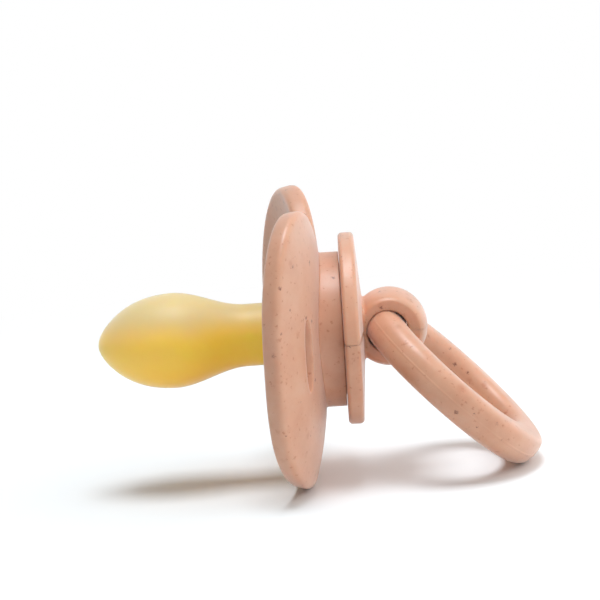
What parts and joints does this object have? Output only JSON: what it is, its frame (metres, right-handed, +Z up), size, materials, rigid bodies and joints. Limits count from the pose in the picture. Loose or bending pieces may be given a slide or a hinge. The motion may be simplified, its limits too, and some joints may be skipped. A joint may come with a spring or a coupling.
{
  "type": "baby soother",
  "caption": "Baby soother with a hollow cherry-shaped rubber teat, a butterfly shield with air slots, a round knob plate and a free-swinging ring handle.",
  "frame": {"origin": "on the surface it stands on, under the middle of the part's length and width", "axes": "+Z up, +X from the teat towards the ring, +Y across the shield's wings"},
  "size_m": [0.0618, 0.045, 0.0406],
  "materials": {
    "latex": "smooth translucent amber natural rubber",
    "speckled_plastic": "satin peach with fine dark plant-fibre specks",
    "plug_plastic": "plain cream moulded plastic"
  },
  "bodies": {
    "soother": {"teat": "latex", "shield": "speckled_plastic", "teat_plug": "plug_plastic", "knob_upper_half": "speckled_plastic", "knob_lower_half": "speckled_plastic"},
    "ring": {"ring_handle": "speckled_plastic"}
  },
  "joints": [
    {"name": "ring_swing", "type": "hinge", "parent": "soother", "child": "ring", "pos_m": [0.01048, 0, 0.02122], "axis": [0, 1, 0], "range_deg": [-134.9, 45.1]}
  ]
}
